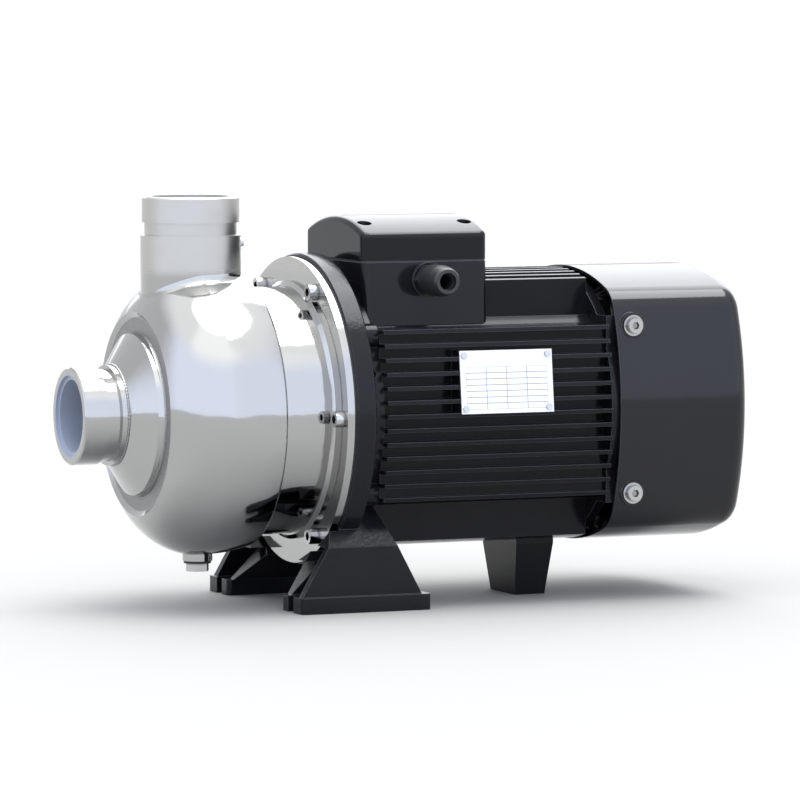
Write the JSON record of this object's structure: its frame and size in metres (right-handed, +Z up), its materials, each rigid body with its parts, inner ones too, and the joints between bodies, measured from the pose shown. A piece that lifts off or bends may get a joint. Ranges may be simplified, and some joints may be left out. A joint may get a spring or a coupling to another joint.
{
  "type": "horizontal centrifugal pump",
  "caption": "Close-coupled horizontal centrifugal pump with a pressed steel casing, grooved spigots and a finned motor on cast feet, for moving clean liquids.",
  "frame": {"origin": "on the floor, midway between the two foundation studs in the open slots of the front feet", "axes": "+X along the shaft from the suction spigot to the fan, +Z up along the discharge spigot"},
  "size_m": [0.4227, 0.195, 0.254],
  "materials": {
    "pump_steel": "polished and drawn stainless steel",
    "machined_steel": "machined",
    "fastener_steel": "bright zinc",
    "frame_paint": "gloss black on an aluminium extrusion",
    "bracket_paint": "gloss black on cast iron",
    "shield_paint": "black",
    "cover_paint": "gloss black on pressed steel",
    "box_paint": "gloss black on die-cast alloy",
    "foot_plastic": "moulded",
    "gland_plastic": "moulded",
    "fan_plastic": "moulded",
    "seal_rubber": "moulded",
    "seal_ceramic": "lapped",
    "core_steel": "stacked sheet",
    "copper": "varnished copper wire",
    "rotor_alloy": "die-cast",
    "brass": "turned",
    "plate_alloy": "satin, bare"
  },
  "bodies": {
    "root": {"suction_nozzle": "pump_steel", "discharge_nozzle": "pump_steel", "casing_shell": "pump_steel", "back_cover": "pump_steel", "wear_ring": "machined_steel", "front_bearing_outer_ring": "machined_steel", "rear_bearing_outer_ring": "machined_steel", "drain_plug": "fastener_steel", "vent_plug": "fastener_steel", "casing_screws": "fastener_steel", "tie_bolts": "fastener_steel", "fan_cover_screws": "fastener_steel", "fan_cover_washers": "fastener_steel", "lid_screws": "fastener_steel", "support_foot_screws": "fastener_steel", "nameplate_rivets": "fastener_steel", "bearing_wave_spring": "fastener_steel", "motor_frame": "frame_paint", "pump_bracket": "bracket_paint", "rear_end_shield": "shield_paint", "fan_cover": "cover_paint", "terminal_box_base": "box_paint", "terminal_box_lid": "box_paint", "rear_support_foot": "foot_plastic", "cable_gland_body": "gland_plastic", "cable_gland_nut": "gland_plastic", "terminal_block": "fan_plastic", "drain_plug_washer": "seal_rubber", "casing_o_ring": "seal_rubber", "seal_seat_gasket": "seal_rubber", "shaft_oil_seal": "seal_rubber", "terminal_box_gasket": "seal_rubber", "cable_gland_seal": "seal_rubber", "seal_seat": "seal_ceramic", "stator_core": "core_steel", "stator_windings": "copper", "terminal_studs": "brass", "terminal_nuts": "brass", "terminal_links": "brass", "nameplate": "plate_alloy"},
    "rotor": {"motor_shaft": "machined_steel", "rotor_core": "core_steel", "rotor_end_rings": "rotor_alloy", "impeller": "machined_steel", "impeller_key": "fastener_steel", "impeller_washer": "fastener_steel", "impeller_nut": "fastener_steel", "seal_head": "machined_steel", "water_slinger": "seal_rubber", "front_bearing_inner_ring": "machined_steel", "rear_bearing_inner_ring": "machined_steel", "cooling_fan": "fan_plastic", "fan_circlip": "fastener_steel"},
    "front_cage": {"front_bearing_balls": "machined_steel", "front_bearing_cage": "fan_plastic"},
    "rear_cage": {"rear_bearing_balls": "machined_steel", "rear_bearing_cage": "fan_plastic"}
  },
  "joints": [
    {"name": "rotor_spin", "type": "hinge", "parent": "root", "child": "rotor", "pos_m": [0, 0, 0.12], "axis": [1, 0, 0], "continuous": true},
    {"name": "front_cage_spin", "type": "hinge", "parent": "root", "child": "front_cage", "pos_m": [0.0406, 0, 0.12], "axis": [1, 0, 0], "continuous": true},
    {"name": "rear_cage_spin", "type": "hinge", "parent": "root", "child": "rear_cage", "pos_m": [0.1933, 0, 0.12], "axis": [1, 0, 0], "continuous": true}
  ],
  "couplings": [
    {"joint": "front_cage_spin", "follows": "rotor_spin", "ratio": 0.384},
    {"joint": "rear_cage_spin", "follows": "rotor_spin", "ratio": 0.384}
  ]
}
